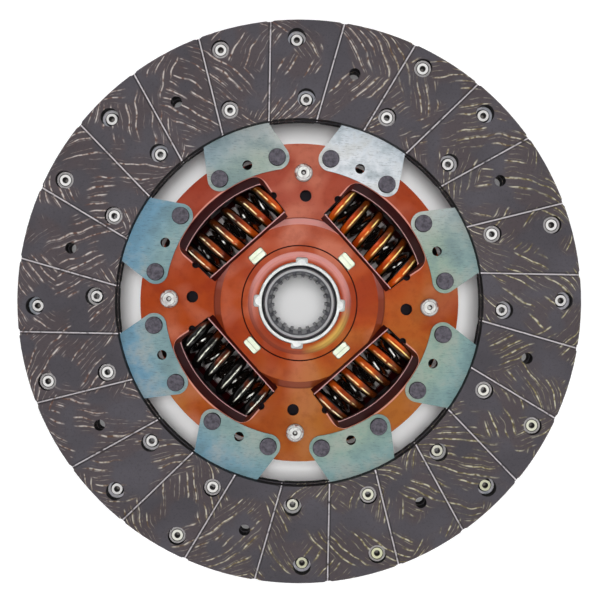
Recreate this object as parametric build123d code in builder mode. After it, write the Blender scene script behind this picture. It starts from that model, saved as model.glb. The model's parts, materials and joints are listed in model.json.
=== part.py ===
from build123d import *
import os
from math import asin, cos, degrees, hypot, pi, radians, sin, tan

# Sprung clutch disc, 275 mm, 21-tooth hub.
# Frame: +Z is the disc axis and points out of the side with the long hub nose. The origin is the
# centre of the hub's rear end face. +X runs through a tooling hole of the front plate.
# All sizes are in millimetres and all angles in degrees.

# ---------------------------------------------------------------- driving dimensions

# Hub
spline_teeth = 21
spline_root_radius = 14.9
spline_depth = 1.4
tooth_root_share = 0.56
tooth_tip_share = 0.36
mouth_chamfer = 0.9
mouth_run_out = 0.5
hub_tail_length = 17.5
hub_nose_length = 10.5
flange_thickness = 7.0
flange_rim = 4.2
nose_wall = 2.4
tail_wall = 5.6
hub_edge_chamfer = 0.8

# Bushes between the hub and the side plates
nose_gap = 1.1
bush_wall = 1.5
bush_seat_gap = 0.4
bush_ear_radius = 2.45
bush_ear_reach = 1.9
bush_proud = 0.5
bush_rim_radius = 0.3
bush_flange_width = 4.8
bush_flange_thickness = 1.2
rear_bush_wall = 2.2
rear_bush_flange_width = 6.45
rear_bush_flange_thickness = 1.5
rear_bush_depth = 1.6
hub_running_gap = 0.05
bush_fit_gap = 0.05

# Side plates: the front one has a raised centre with a low step and a collar
plate_thickness = 2.5
plate_gap = 2.0
plate_margin = 6.1
rear_plate_margin = 5.0
collar_width = 3.1
collar_slope = 1.9
collar_rise = 1.2
step_width = 3.3
step_drop = 0.6
dome_slope = 3.2
dome_rise = 2.2
dome_brow = 0.5
bore_notch_reach = 2.2
bore_notch_width = 6.0
bore_notch_corner_radius = 1.2

# Friction stack under the raised centre
lug_slot_length = 8.4
lug_slot_width = 5.2
lug_from_step = 2.4
lug_clearance = 0.35
lug_corner_radius = 1.0
lug_proud = 0.2
lug_fold_width = 0.5
lug_fold_depth = 1.0
friction_rim = 4.0
friction_bore_gap = 0.1
front_friction_thickness = 1.5
lug_washer_thickness = 1.2
cone_spring_sheet = 0.6
cone_spring_margin = 0.4
friction_lip_gap = 0.7

# Springs
window_count = 4
window_angle = 45.0
spring_diameter = 25.0
spring_wire = 5.2
spring_length = 49.6
spring_pitch = 8.9
inner_spring_diameter = 13.4
inner_spring_wire = 3.0
inner_spring_pitch = 5.2
closed_turns = 0.5
closed_coil_gap = 0.2
ground_wire_share = 0.25
points_per_turn = 16
spring_end_gap = 0.12
spring_side_gap = 0.35

# Spring windows with their lips
lip_height = 4.6
lip_edge_flat = 0.3
inner_lip_cover = 1.7
inner_lip_end_gap = 0.8
outer_lip_cover = 0.7
outer_lip_width = 5.4
lip_foot_corner_radius = 5.5
window_end_spread = 0.7
lip_flare = 8.0
outer_lip_end_lean = 30.0
window_corner_radius = 3.5
window_inner_corner_radius = 1.0
window_relief_radius = 1.8
window_relief_inset = 0.8

# Stop pins and the turn that they allow the hub
stop_pin_angle = 1.5
stop_pin_inset = 6.7
stop_shoulder_diameter = 9.0
stop_shank_diameter = 6.4
stop_head_diameter = 8.8
stop_head_height = 1.9
stop_head_chamfer = 0.5
stop_dimple_diameter = 2.6
hub_turn_forward = 9.0
hub_turn_back = 6.0
stop_clearance_angle = 0.2

# Tooling holes of the side plates
tooling_hole_diameter = 5.8
tooling_hole_inset = 11.1

# Cushion plates
cushion_count = 8
cushion_angle = 24.05
cushion_thickness = 0.7
cushion_travel = 0.8
tab_lip_gap = 0.3
tab_corner_radius = 6.0
tab_rivet_half_angle = 12.05
tab_hole_diameter = 4.8
neck_half_angle = 10.9
neck_root_width = 0.5
paddle_offset_angle = 10.75
paddle_half_angle = 21.0
paddle_margin = 3.5
paddle_corner_radius = 5.0
joggle_start = 4.0
joggle_end = 13.0

# Friction facings
facing_gap = 11.3
facing_width = 47.5
facing_thickness = 3.5
facing_pad_count = 24
pad_corner_radius = 1.7
groove_offset = 16.5
groove_start_angle = 2.3
groove_width = 1.1
groove_length_share = 1.4
groove_depth = 0.9

# Facing rivets: front-headed and rear-headed ones lie either side of a paddle's middle
outer_row_inset = 8.5
outer_row_half_angle = 14.15
inner_row_inset = 10.0
inner_row_half_angle = 11.65
locating_hole_diameter = 5.5
counterbore_diameter = 8.9
rivet_head_diameter = 8.3
rivet_head_height = 1.0
rivet_head_depth = 1.2
rivet_shank_diameter = 4.6
rivet_tail_diameter = 6.2
rivet_tail_height = 1.0
rivet_bore_diameter = 2.8
rivet_blind_depth = 1.9
rivet_clearance = 0.1
rivet_head_round = 0.3
rivet_tail_round = 0.45

# Rivets that hold the cushion plates to the front plate
tab_rivet_head_diameter = 8.5
tab_rivet_head_height = 1.3
tab_rivet_shank_diameter = 5.2
tab_rivet_tail_diameter = 7.6
tab_rivet_tail_height = 1.2
tab_rivet_head_round = 0.35
tab_rivet_tail_chamfer = 0.4

# ---------------------------------------------------------------- radii that follow, outwards

spline_tip_radius = spline_root_radius - spline_depth
nose_radius = spline_root_radius + nose_wall
tail_radius = spline_root_radius + tail_wall
bush_inner_radius = nose_radius + nose_gap
bush_outer_radius = bush_inner_radius + bush_wall
front_bore_radius = bush_outer_radius + bush_seat_gap
rear_bush_radius = tail_radius + hub_running_gap + rear_bush_wall
collar_top_radius = front_bore_radius + collar_width
collar_foot_radius = collar_top_radius + collar_slope
step_radius = collar_foot_radius + step_width
lug_radius = step_radius + lug_from_step
friction_inner_radius = tail_radius + friction_bore_gap
friction_outer_radius = lug_radius + friction_rim
inner_lip_foot = friction_outer_radius + friction_lip_gap
inner_edge_distance = inner_lip_foot + plate_thickness
dome_top_radius = inner_edge_distance + dome_brow
dome_foot_radius = dome_top_radius + dome_slope
spring_distance = inner_edge_distance - inner_lip_cover + spring_diameter / 2
tunnel_radius = spring_diameter / 2 + spring_side_gap
window_half_length = spring_length / 2 + spring_end_gap
lip_edge_radius = spring_distance + spring_diameter / 2 - outer_lip_cover
lip_foot_radius = lip_edge_radius + outer_lip_width
flange_radius = hypot(window_half_length, spring_distance + tunnel_radius) + flange_rim
stop_pin_radius = flange_radius - stop_pin_inset
tooling_hole_radius = dome_foot_radius + tooling_hole_inset
tab_inner_radius = lip_foot_radius + tab_lip_gap
tab_rivet_radius = tab_inner_radius + tab_corner_radius
front_plate_radius = tab_rivet_radius + plate_margin
rear_plate_radius = flange_radius + rear_plate_margin
facing_inner_radius = front_plate_radius + facing_gap
facing_outer_radius = facing_inner_radius + facing_width
outer_row_radius = facing_outer_radius - outer_row_inset
inner_row_radius = facing_inner_radius + inner_row_inset
locating_hole_radius = (inner_row_radius + outer_row_radius) / 2
paddle_inner_radius = facing_inner_radius + paddle_margin
paddle_outer_radius = facing_outer_radius - paddle_margin

# ---------------------------------------------------------------- levels that follow, upwards

flange_rear = hub_tail_length
flange_front = flange_rear + flange_thickness
flange_middle = (flange_rear + flange_front) / 2
hub_length = flange_front + hub_nose_length
front_plate_back = flange_front + plate_gap
front_plate_face = front_plate_back + plate_thickness
rear_plate_back = flange_rear - plate_gap
rear_plate_face = rear_plate_back - plate_thickness
dome_top = front_plate_face + dome_rise
step_level = dome_top - step_drop
collar_top = step_level + collar_rise
bush_seat = collar_top - plate_thickness
cushion_back = front_plate_face
cushion_front = cushion_back + cushion_thickness
wing_back = cushion_back - cushion_travel
front_facing_back = cushion_front
front_facing_face = front_facing_back + facing_thickness
rear_facing_front = wing_back
rear_facing_face = rear_facing_front - facing_thickness

# ---------------------------------------------------------------- angles that follow

quarter = 360 / window_count
window_angles = [window_angle + quarter * i for i in range(window_count)]
stop_angles = [stop_pin_angle + quarter * i for i in range(window_count)]
cushion_angles = [cushion_angle + 360 / cushion_count * i for i in range(cushion_count)]
paddle_angles = [angle + paddle_offset_angle for angle in cushion_angles]
stop_half_angle = degrees(asin(stop_shoulder_diameter / 2 / stop_pin_radius))
notch_half_angle = (hub_turn_forward + hub_turn_back) / 2 + stop_half_angle + stop_clearance_angle


# ---------------------------------------------------------------- planes and small helpers

def turned(angle, height=0.0):
    """Plane across the disc axis at a height, with its x direction at an angle from +X."""
    direction = (cos(radians(angle)), sin(radians(angle)), 0)
    return Plane((0, 0, height), x_dir=direction, z_dir=(0, 0, 1))


def upright(angle):
    """Plane that holds the disc axis: x is the radius at an angle and y is the height."""
    a = radians(angle)
    return Plane((0, 0, 0), x_dir=(cos(a), sin(a), 0), z_dir=(sin(a), -cos(a), 0))


def at(radius, angle):
    """Point across the disc axis, given by its radius and angle."""
    return (radius * cos(radians(angle)), radius * sin(radians(angle)))


def save(part, name):
    """Label a finished piece and write its STEP file."""
    part.label = name
    export_step(part, f"parts/{name}.step")


os.makedirs("parts", exist_ok=True)

# ---------------------------------------------------------------- hub

bore_cut_radius = spline_tip_radius - 1
notch_foot_radius = stop_pin_radius - stop_shoulder_diameter / 2 - spring_side_gap
tooth_half_root = tooth_root_share * pi * spline_root_radius / spline_teeth
tooth_half_tip = tooth_tip_share * pi * spline_tip_radius / spline_teeth

with BuildPart() as hub:
    # Body of revolution: tail barrel, flange and nose barrel
    with BuildSketch(Plane.XZ) as hub_section:
        with BuildLine():
            Polyline(
                (bore_cut_radius, 0), (tail_radius, 0), (tail_radius, flange_rear),
                (flange_radius, flange_rear), (flange_radius, flange_front),
                (nose_radius, flange_front), (nose_radius, hub_length),
                (bore_cut_radius, hub_length), close=True,
            )
        make_face()
        barrel_ends = hub_section.vertices().filter_by(lambda v: v.Y in (0, hub_length))
        chamfer(barrel_ends.group_by(Axis.X)[1:], hub_edge_chamfer)
    revolve(axis=Axis.Z)
    # Windows for the springs
    with BuildSketch(Plane.XY.offset(flange_rear)) as flange_windows:
        with PolarLocations(0, window_count, start_angle=window_angle):
            with Locations((spring_distance, 0)):
                RectangleRounded(2 * tunnel_radius, 2 * window_half_length, window_inner_corner_radius)
    extrude(amount=flange_thickness, mode=Mode.SUBTRACT)
    # Notches in the rim, where the stop pins end the hub's turn
    with BuildSketch(Plane.XY.offset(flange_rear)) as stop_notches:
        Circle(flange_radius + 1)
        Circle(notch_foot_radius, mode=Mode.SUBTRACT)
        with PolarLocations(0, window_count):
            Polygon(
                (0, 0), at(2 * flange_radius, notch_half_angle),
                at(2 * flange_radius, quarter / 2), at(2 * flange_radius, quarter - notch_half_angle),
                align=None, mode=Mode.SUBTRACT,
            )
    extrude(amount=flange_thickness, mode=Mode.SUBTRACT)
    # Splined bore, with a tooth on the +X side
    with BuildSketch() as spline_bore:
        Circle(spline_root_radius)
        with PolarLocations(0, spline_teeth):
            Polygon(
                (spline_tip_radius, -tooth_half_tip), (spline_root_radius + 1, -tooth_half_root),
                (spline_root_radius + 1, tooth_half_root), (spline_tip_radius, tooth_half_tip),
                align=None, mode=Mode.SUBTRACT,
            )
    extrude(amount=hub_length, mode=Mode.SUBTRACT)
    # Lead-in cones at both mouths of the bore
    mouth_radius = spline_root_radius + mouth_chamfer
    cone_height = mouth_radius - spline_tip_radius + mouth_run_out
    for level, turn in ((0, 0), (hub_length, 180)):
        with Locations(Location((0, 0, level), (turn, 0, 0))):
            Cone(mouth_radius, mouth_radius - cone_height, cone_height,
                 align=(Align.CENTER, Align.CENTER, Align.MIN), mode=Mode.SUBTRACT)
save(hub.part, "hub")

# ---------------------------------------------------------------- spring window shapes, along +X

lip_lean_in = outer_lip_width / lip_height
lip_sheet_shift = plate_thickness * (hypot(outer_lip_width, lip_height) - outer_lip_width) / lip_height
lip_top = front_plate_face + lip_height
void_height = lip_top + 1 - front_plate_back
relief_distance = spring_distance - window_relief_inset
relief_half_length = window_half_length + window_end_spread


def outer_outline(radius, inner_end, half_length, flare, corner):
    """Face from a line across the window out to an arc round the disc axis, with two round corners."""
    spread = (radius - inner_end) * tan(radians(flare))
    with BuildSketch() as outline:
        Polygon((inner_end, -half_length), (radius, -half_length - spread), (radius, half_length + spread),
                (inner_end, half_length), align=None)
        Circle(radius, mode=Mode.INTERSECT)
        corners = outline.vertices().sort_by(lambda v: -hypot(v.X, v.Y))[:2]
        fillet(corners, corner)
    return outline.sketch


def hood(level, height, radius, lean_in, half_length, corner):
    """Solid under a hood: ends steep, outer side a cone round the disc axis."""
    with BuildPart() as block:
        with BuildSketch(Plane.XY.offset(level)):
            add(outer_outline(radius, relief_distance, half_length, lip_flare, corner))
        extrude(amount=height, taper=outer_lip_end_lean)
        with Locations((0, 0, level)):
            Cone(radius, radius - lean_in * height, height,
                 align=(Align.CENTER, Align.CENTER, Align.MIN), mode=Mode.INTERSECT)
    return block.part


# Outer lip: the sheet leans in over the spring from an arched foot that turns down both ends
with BuildPart() as outer_lip:
    add(hood(front_plate_face, lip_height, lip_foot_radius, lip_lean_in, relief_half_length,
             lip_foot_corner_radius))
    with BuildSketch(Plane.XY.offset(front_plate_back)):
        add(outer_outline(lip_foot_radius, relief_distance, relief_half_length, lip_flare,
                          lip_foot_corner_radius))
    extrude(amount=plate_thickness)

# Inner lip: the sheet's straight edge is turned up beside the spring
with BuildPart() as inner_lip:
    inner_lip_root = front_plate_face - plate_thickness / 2
    with BuildSketch(Plane.XZ) as inner_lip_section:
        with BuildLine():
            Polyline(
                (inner_lip_foot, inner_lip_root), (inner_lip_foot, front_plate_face),
                (inner_edge_distance - lip_edge_flat, lip_top), (inner_edge_distance + 1, lip_top),
                (inner_edge_distance + 1, inner_lip_root), close=True,
            )
        make_face()
    extrude(amount=window_half_length - inner_lip_end_gap, both=True)

# Everything that a window takes out of a side plate
with BuildPart() as window_void:
    with BuildSketch(Plane.XY.offset(front_plate_back)):
        add(outer_outline(lip_edge_radius, inner_edge_distance, window_half_length, 0, window_corner_radius))
    extrude(amount=void_height)
    # The ends spread a little from the inner corners out to the relief notches
    with BuildSketch(Plane.XY.offset(front_plate_back)):
        Polygon((inner_edge_distance, -window_half_length), (relief_distance, -relief_half_length),
                (relief_distance, relief_half_length), (inner_edge_distance, window_half_length), align=None)
    extrude(amount=plate_thickness)
    # Hollow under the outer lip, so that the lip is as thick as the sheet
    add(hood(front_plate_back, lip_height, lip_foot_radius - lip_sheet_shift, lip_lean_in,
             relief_half_length - lip_sheet_shift, lip_foot_corner_radius - lip_sheet_shift))
    # Room round the spring itself
    with BuildSketch(Plane.XZ):
        with Locations((spring_distance, flange_middle)):
            Circle(tunnel_radius)
    extrude(amount=window_half_length, both=True)
    # Relief notch in the middle of each end
    with BuildSketch(Plane.XY.offset(front_plate_back)):
        with Locations((relief_distance, -relief_half_length), (relief_distance, relief_half_length)):
            Circle(window_relief_radius)
    extrude(amount=plate_thickness)

# ---------------------------------------------------------------- front plate

with BuildPart() as front_plate:
    # Sheet turned round the axis: flat rim, raised centre, low step and collar
    with BuildSketch(Plane.XZ) as plate_section:
        upper = [
            (front_plate_radius, front_plate_face), (dome_foot_radius, front_plate_face),
            (dome_top_radius, dome_top), (step_radius, dome_top),
            (step_radius - step_drop, step_level), (collar_foot_radius, step_level),
            (collar_top_radius, collar_top), (front_bore_radius, collar_top),
        ]
        lower = [(radius, height - plate_thickness) for radius, height in reversed(upper)]
        with BuildLine():
            Polyline(*upper, *lower, close=True)
        make_face()
    revolve(axis=Axis.Z)
    # Lips and windows for the springs
    with PolarLocations(0, window_count, start_angle=window_angle):
        add(outer_lip.part)
        add(inner_lip.part)
    with PolarLocations(0, window_count, start_angle=window_angle):
        add(window_void.part, mode=Mode.SUBTRACT)
    # Holes for the stop pins, the tooling and the cushion rivets
    with BuildSketch(Plane.XY.offset(front_plate_back)):
        with PolarLocations(stop_pin_radius, window_count, start_angle=stop_pin_angle):
            Circle(stop_shank_diameter / 2)
        with PolarLocations(tooling_hole_radius, window_count):
            Circle(tooling_hole_diameter / 2)
        for angle in cushion_angles:
            with Locations(at(tab_rivet_radius, angle - tab_rivet_half_angle),
                           at(tab_rivet_radius, angle + tab_rivet_half_angle)):
                Circle(tab_rivet_shank_diameter / 2)
            with Locations(at(tab_rivet_radius, angle)):
                Circle(tab_hole_diameter / 2)
    extrude(amount=plate_thickness, mode=Mode.SUBTRACT)
    # Slots for the lugs of the friction washer, and notches for the bush's ears
    with BuildSketch(Plane.XY.offset(front_plate_back)):
        with PolarLocations(lug_radius, window_count, start_angle=window_angle):
            RectangleRounded(lug_slot_width, lug_slot_length, lug_corner_radius)
        with PolarLocations(front_bore_radius, window_count):
            RectangleRounded(2 * bore_notch_reach, bore_notch_width, bore_notch_corner_radius)
    extrude(amount=collar_top + 1 - front_plate_back, mode=Mode.SUBTRACT)
save(front_plate.part, "front_plate")

# ---------------------------------------------------------------- rear plate

with BuildPart() as rear_plate:
    with BuildSketch(Plane.XY.offset(rear_plate_face)):
        Circle(rear_plate_radius)
    extrude(amount=plate_thickness)
    with PolarLocations(0, window_count, start_angle=window_angle):
        for lip in (outer_lip, inner_lip):
            add(mirror(lip.part, about=Plane.XY.offset(flange_middle), mode=Mode.PRIVATE))
    with PolarLocations(0, window_count, start_angle=window_angle):
        add(mirror(window_void.part, about=Plane.XY.offset(flange_middle), mode=Mode.PRIVATE),
            mode=Mode.SUBTRACT)
    with BuildSketch(Plane.XY.offset(rear_plate_face)):
        Circle(rear_bush_radius + bush_fit_gap)
        with PolarLocations(stop_pin_radius, window_count, start_angle=stop_pin_angle):
            Circle(stop_shank_diameter / 2)
        with PolarLocations(tooling_hole_radius, window_count):
            Circle(tooling_hole_diameter / 2)
    extrude(amount=plate_thickness, mode=Mode.SUBTRACT)
save(rear_plate.part, "rear_plate")

# ---------------------------------------------------------------- stop pins

for index, angle in enumerate(stop_angles):
    with BuildPart() as stop_pin:
        # Shouldered pin turned about its own axis, riveted over on both plates
        with BuildSketch(Plane.XZ) as pin_section:
            shoulder = stop_shoulder_diameter / 2
            shank = stop_shank_diameter / 2
            head = stop_head_diameter / 2
            with BuildLine():
                Polyline(
                    (0, rear_plate_face - stop_head_height), (head, rear_plate_face - stop_head_height),
                    (head, rear_plate_face), (shank, rear_plate_face), (shank, rear_plate_back),
                    (shoulder, rear_plate_back), (shoulder, front_plate_back),
                    (shank, front_plate_back), (shank, front_plate_face), (head, front_plate_face),
                    (head, front_plate_face + stop_head_height),
                    (0, front_plate_face + stop_head_height), close=True,
                )
            make_face()
            head_rims = pin_section.vertices().filter_by(lambda v: v.X == head)
            outer_rims = [head_rims.sort_by(Axis.Y)[0], head_rims.sort_by(Axis.Y)[-1]]
            chamfer(outer_rims, stop_head_chamfer)
        revolve(axis=Axis.Z)
        # Dimples left by the riveting punch
        for level in (rear_plate_face - stop_head_height, front_plate_face + stop_head_height):
            with Locations((0, 0, level)):
                Sphere(stop_dimple_diameter / 2, mode=Mode.SUBTRACT)
    save(stop_pin.part.moved(Location((*at(stop_pin_radius, angle), 0))), f"stop_pin_{index + 1}")

# ---------------------------------------------------------------- bushes

with BuildPart() as front_bush:
    bush_top = collar_top + bush_proud
    with BuildSketch(Plane.XY.offset(bush_seat)):
        Circle(bush_outer_radius)
        with PolarLocations(bush_outer_radius + bush_ear_reach - bush_ear_radius, window_count):
            Circle(bush_ear_radius)
        Circle(bush_inner_radius, mode=Mode.SUBTRACT)
    extrude(amount=bush_top - bush_seat)
    fillet(front_bush.edges().group_by(Axis.Z)[-1], bush_rim_radius)
    with BuildSketch(Plane.XY.offset(bush_seat)):
        Circle(bush_inner_radius + bush_flange_width)
        Circle(bush_inner_radius, mode=Mode.SUBTRACT)
    extrude(amount=-bush_flange_thickness)
save(front_bush.part, "front_bush")

with BuildPart() as rear_bush:
    bore = tail_radius + hub_running_gap
    with BuildSketch(Plane.XZ):
        with BuildLine():
            Polyline(
                (bore, rear_plate_face - rear_bush_flange_thickness),
                (bore + rear_bush_flange_width, rear_plate_face - rear_bush_flange_thickness),
                (bore + rear_bush_flange_width, rear_plate_face), (rear_bush_radius, rear_plate_face),
                (rear_bush_radius, rear_plate_back + rear_bush_depth),
                (bore, rear_plate_back + rear_bush_depth), close=True,
            )
        make_face()
    revolve(axis=Axis.Z)
save(rear_bush.part, "rear_bush")

# ---------------------------------------------------------------- friction stack

lug_washer_back = flange_front + front_friction_thickness
lug_washer_front = lug_washer_back + lug_washer_thickness

with BuildPart() as front_friction_washer:
    with BuildSketch(Plane.XY.offset(flange_front)):
        Circle(friction_outer_radius)
        Circle(friction_inner_radius, mode=Mode.SUBTRACT)
    extrude(amount=front_friction_thickness)
save(front_friction_washer.part, "front_friction_washer")

with BuildPart() as rear_friction_washer:
    with BuildSketch(Plane.XY.offset(rear_plate_back)):
        Circle(friction_outer_radius)
        Circle(rear_bush_radius + friction_rim, mode=Mode.SUBTRACT)
    extrude(amount=flange_rear - rear_plate_back)
save(rear_friction_washer.part, "rear_friction_washer")

with BuildPart() as lug_washer:
    with BuildSketch(Plane.XY.offset(lug_washer_back)):
        Circle(friction_outer_radius)
        Circle(friction_inner_radius, mode=Mode.SUBTRACT)
    extrude(amount=lug_washer_thickness)
    # Lugs that stand in the front plate's slots, each folded double
    with BuildSketch(Plane.XY.offset(lug_washer_back)):
        with PolarLocations(lug_radius, window_count, start_angle=window_angle):
            RectangleRounded(lug_slot_width - 2 * lug_clearance, lug_slot_length - 2 * lug_clearance,
                             lug_corner_radius - lug_clearance / 2)
    extrude(amount=dome_top + lug_proud - lug_washer_back)
    with BuildSketch(Plane.XY.offset(dome_top + lug_proud)):
        with PolarLocations(lug_radius, window_count, start_angle=window_angle):
            Rectangle(lug_fold_width, lug_slot_length)
    extrude(amount=-lug_fold_depth, mode=Mode.SUBTRACT)
save(lug_washer.part, "lug_washer")

cone_spring_inner_radius = bush_inner_radius + bush_flange_width + cone_spring_margin
cone_spring_outer_radius = step_radius - cone_spring_margin

with BuildPart() as cone_spring:
    cone_lift = step_level - plate_thickness - lug_washer_front - cone_spring_sheet
    with BuildSketch(Plane.XZ):
        with BuildLine():
            Polyline(
                (cone_spring_inner_radius, lug_washer_front + cone_lift),
                (cone_spring_outer_radius, lug_washer_front),
                (cone_spring_outer_radius, lug_washer_front + cone_spring_sheet),
                (cone_spring_inner_radius, lug_washer_front + cone_lift + cone_spring_sheet),
                close=True,
            )
        make_face()
    revolve(axis=Axis.Z)
save(cone_spring.part, "cone_spring")

# ---------------------------------------------------------------- cushion plates

neck_half_width = facing_inner_radius * sin(radians(neck_half_angle))
neck_reach = facing_inner_radius * cos(radians(neck_half_angle))
blank_height = cushion_travel + cushion_thickness

# Outline of one cushion plate, with the middle of its paddle along +X
with BuildPart() as cushion_blank:
    # Tab and neck, with sides drawn in from the corners round the rivets
    with BuildSketch(turned(-paddle_offset_angle, wing_back)):
        with Locations(at(tab_rivet_radius, tab_rivet_half_angle),
                       at(tab_rivet_radius, -tab_rivet_half_angle)):
            Circle(tab_corner_radius)
        with Locations((neck_reach, 0)):
            Rectangle(neck_root_width, 2 * neck_half_width)
        make_hull()
        Circle(tab_inner_radius, mode=Mode.SUBTRACT)
        with Locations((neck_reach, 0)):
            Rectangle(paddle_inner_radius + neck_root_width - neck_reach, 2 * neck_half_width,
                      align=(Align.MIN, Align.CENTER))
    extrude(amount=blank_height)
    # Paddle between the facings
    with BuildSketch(Plane.XY.offset(wing_back)) as paddle:
        Circle(paddle_outer_radius)
        Circle(paddle_inner_radius, mode=Mode.SUBTRACT)
        Polygon((0, 0), at(2 * paddle_outer_radius, -paddle_half_angle),
                at(2 * paddle_outer_radius, paddle_half_angle),
                align=None, mode=Mode.INTERSECT)
        fillet(paddle.vertices(), paddle_corner_radius)
    extrude(amount=blank_height)

with BuildPart() as cushion_plate:
    # Sheet seen along the radius: a flat side against the front facing, then a shallow step
    # back to the wing that lies against the rear facing
    with BuildSketch(Plane.YZ.offset(neck_reach)):
        front_line = [
            (-paddle_outer_radius, cushion_front), (joggle_start, cushion_front),
            (joggle_end, wing_back + cushion_thickness),
            (paddle_outer_radius, wing_back + cushion_thickness),
        ]
        back_line = [(side, height - cushion_thickness) for side, height in reversed(front_line)]
        with BuildLine():
            Polyline(*front_line, *back_line, close=True)
        make_face()
    extrude(amount=paddle_outer_radius + 1 - neck_reach)
    # The tab and neck stay flat
    with BuildSketch(Plane.XY.offset(cushion_back)):
        with Locations((neck_reach, 0)):
            Rectangle(neck_reach, 2 * paddle_outer_radius, align=(Align.MAX, Align.CENTER))
    extrude(amount=cushion_thickness)
    add(cushion_blank.part, mode=Mode.INTERSECT)
    # Holes for the rivets at the tab, the facing rivets and the locating pin
    with BuildSketch(Plane.XY.offset(wing_back)):
        for side in (-1, 1):
            with Locations(at(tab_rivet_radius, side * tab_rivet_half_angle - paddle_offset_angle)):
                Circle(tab_rivet_shank_diameter / 2)
            with Locations(at(outer_row_radius, side * outer_row_half_angle),
                           at(inner_row_radius, side * inner_row_half_angle)):
                Circle(rivet_shank_diameter / 2)
        with Locations(at(tab_rivet_radius, -paddle_offset_angle)):
            Circle(tab_hole_diameter / 2)
        with Locations((locating_hole_radius, 0)):
            Circle(locating_hole_diameter / 2)
    extrude(amount=blank_height, mode=Mode.SUBTRACT)
for index, angle in enumerate(paddle_angles):
    save(cushion_plate.part.rotate(Axis.Z, angle), f"cushion_plate_{index + 1}")

# ---------------------------------------------------------------- friction facings

front_headed = []
rear_headed = []
for angle in paddle_angles:
    front_headed += [at(outer_row_radius, angle - outer_row_half_angle),
                     at(inner_row_radius, angle - inner_row_half_angle)]
    rear_headed += [at(outer_row_radius, angle + outer_row_half_angle),
                    at(inner_row_radius, angle + inner_row_half_angle)]

groove_reach = facing_inner_radius + facing_width / 2
groove_length = groove_length_share * facing_width
counterbore_depth = rivet_head_depth + rivet_head_height

for side, name in ((1, "front_facing"), (-1, "rear_facing")):
    face = front_facing_face if side > 0 else rear_facing_face
    held_here, held_opposite = (front_headed, rear_headed) if side > 0 else (rear_headed, front_headed)
    floor = face - side * groove_depth
    back = face - side * facing_thickness
    with BuildPart() as facing:
        # Solid ring behind the grooves
        with BuildSketch(Plane.XY.offset(back)):
            Circle(facing_outer_radius)
            Circle(facing_inner_radius, mode=Mode.SUBTRACT)
        extrude(amount=side * (facing_thickness - groove_depth))
        # Pads between straight grooves that miss the centre, with rounded corners
        with BuildSketch(Plane.XY.offset(floor)) as pads:
            Circle(facing_outer_radius)
            Circle(facing_inner_radius, mode=Mode.SUBTRACT)
            with PolarLocations(0, facing_pad_count, start_angle=groove_start_angle):
                with Locations((groove_reach, groove_offset)):
                    Rectangle(groove_length, groove_width, mode=Mode.SUBTRACT)
            fillet(pads.vertices(), pad_corner_radius)
        extrude(amount=side * groove_depth)
        # Counterbored holes for this side's rivets
        with BuildSketch(Plane.XY.offset(back)):
            with Locations(*held_here):
                Circle(rivet_shank_diameter / 2)
            with Locations(*held_opposite):
                Circle(counterbore_diameter / 2)
            for angle in paddle_angles:
                with Locations(at(locating_hole_radius, angle)):
                    Circle(locating_hole_diameter / 2)
        extrude(amount=side * facing_thickness, mode=Mode.SUBTRACT)
        with BuildSketch(Plane.XY.offset(face)):
            with Locations(*held_here):
                Circle(counterbore_diameter / 2)
        extrude(amount=-side * counterbore_depth, mode=Mode.SUBTRACT)
    save(facing.part, name)

# ---------------------------------------------------------------- facing rivets

seat_depth = facing_thickness - counterbore_depth


def tubular_rivet(blind):
    """Section of a tubular rivet: head in the facing, tail rolled over on the cushion plate."""
    grip = -seat_depth - cushion_thickness
    head = rivet_head_diameter / 2
    shank = rivet_shank_diameter / 2 - rivet_clearance / 2
    tail = rivet_tail_diameter / 2
    bore = rivet_bore_diameter / 2
    rivet_length = rivet_head_height - grip + rivet_tail_height
    with BuildPart() as rivet:
        with BuildSketch(Plane.XZ) as section:
            with BuildLine():
                Polyline(
                    (0, rivet_head_height), (head, rivet_head_height), (head, 0), (shank, 0),
                    (shank, grip), (tail, grip), (tail, grip - rivet_tail_height),
                    (0, grip - rivet_tail_height), close=True,
                )
            make_face()
            fillet(section.vertices().group_by(Axis.Y)[0].sort_by(Axis.X)[-1], rivet_tail_round)
            fillet(section.vertices().group_by(Axis.Y)[-1].sort_by(Axis.X)[-1], rivet_head_round)
        revolve(axis=Axis.Z)
        with Locations((0, 0, rivet_head_height)):
            Cylinder(bore, rivet_blind_depth if blind else rivet_length,
                     align=(Align.CENTER, Align.CENTER, Align.MAX), mode=Mode.SUBTRACT)
        if blind:
            with Locations((0, 0, grip - rivet_tail_height)):
                Cylinder(bore, rivet_blind_depth, align=(Align.CENTER, Align.CENTER, Align.MIN),
                         mode=Mode.SUBTRACT)
    return rivet.part


outer_rivet = tubular_rivet(blind=True)
inner_rivet = tubular_rivet(blind=False)

with BuildPart() as facing_rivets_front:
    seat = front_facing_back + seat_depth
    for index, (x, y) in enumerate(front_headed):
        with Locations((x, y, seat)):
            add(inner_rivet if index % 2 else outer_rivet)
save(facing_rivets_front.part, "facing_rivets_front")

with BuildPart() as facing_rivets_rear:
    seat = rear_facing_front - seat_depth
    for index, (x, y) in enumerate(rear_headed):
        with Locations(Location((x, y, seat), (180, 0, 0))):
            add(inner_rivet if index % 2 else outer_rivet)
save(facing_rivets_rear.part, "facing_rivets_rear")

# ---------------------------------------------------------------- cushion rivets

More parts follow.
